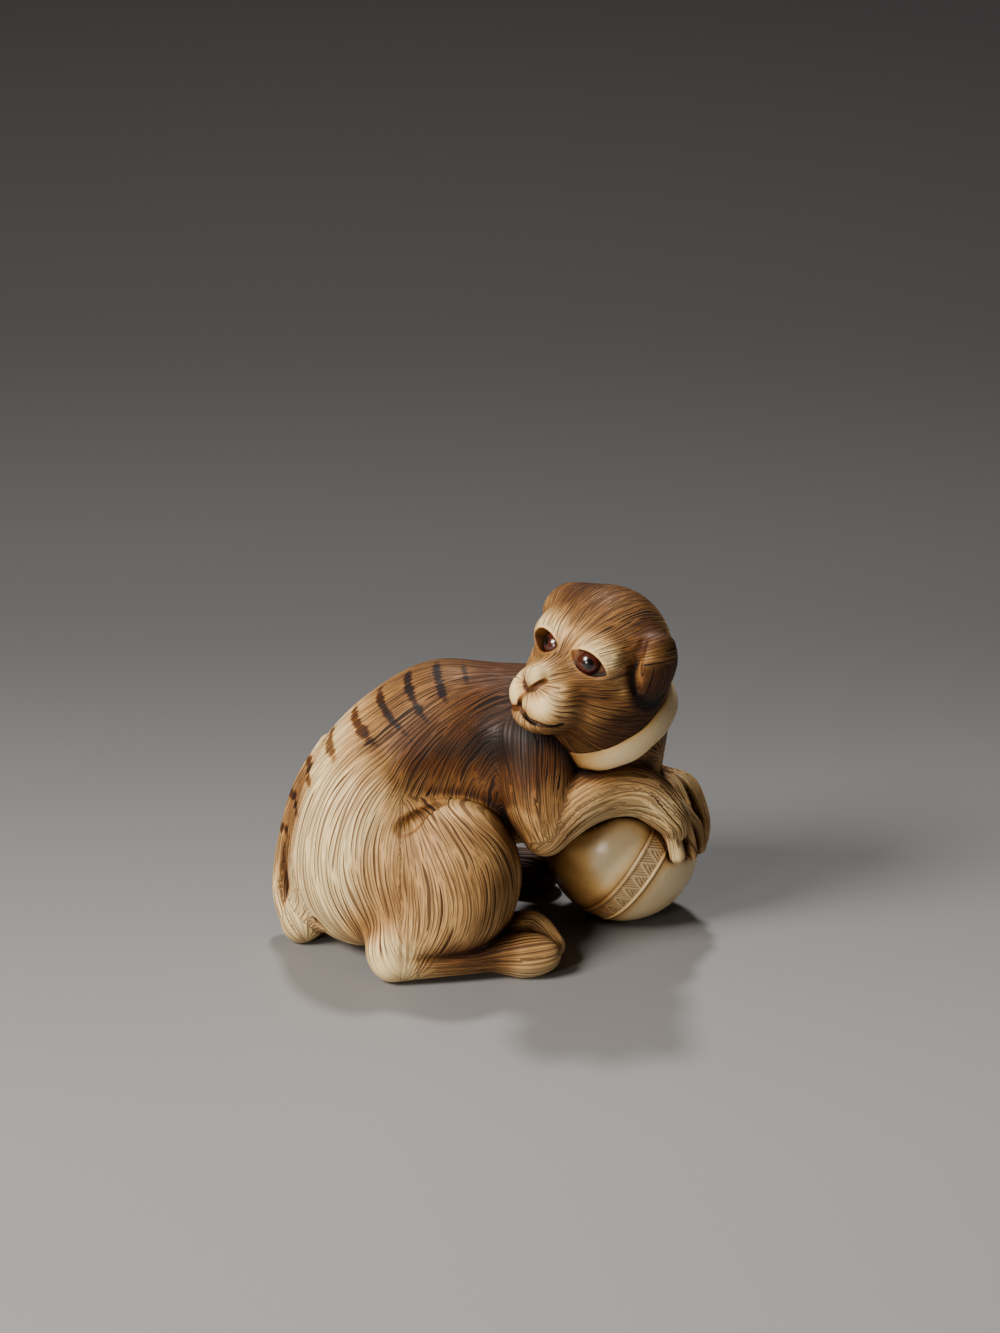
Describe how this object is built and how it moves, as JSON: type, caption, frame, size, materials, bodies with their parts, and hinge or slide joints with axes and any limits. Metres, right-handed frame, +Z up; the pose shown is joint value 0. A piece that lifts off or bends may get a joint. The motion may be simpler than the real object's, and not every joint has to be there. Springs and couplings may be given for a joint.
{
  "type": "netsuke",
  "caption": "Carved ivory netsuke: a crouching puppy in a plain collar, head turned back over its flank, forepaws resting on a ball, with inlaid eyes.",
  "frame": {"origin": "middle of the carving's box in plan, on the plane it rests on", "axes": "+X from the tail to the ball, +Y away from the side the head is turned to, +Z up"},
  "size_m": [0.0418, 0.027, 0.0357],
  "materials": {
    "ivory": "polished ivory with brown stain held in the cut hair",
    "horn": "high polish, dark reddish brown horn"
  },
  "bodies": {
    "root": {"carving": "ivory", "eye_left": "horn", "eye_right": "horn"}
  },
  "joints": []
}
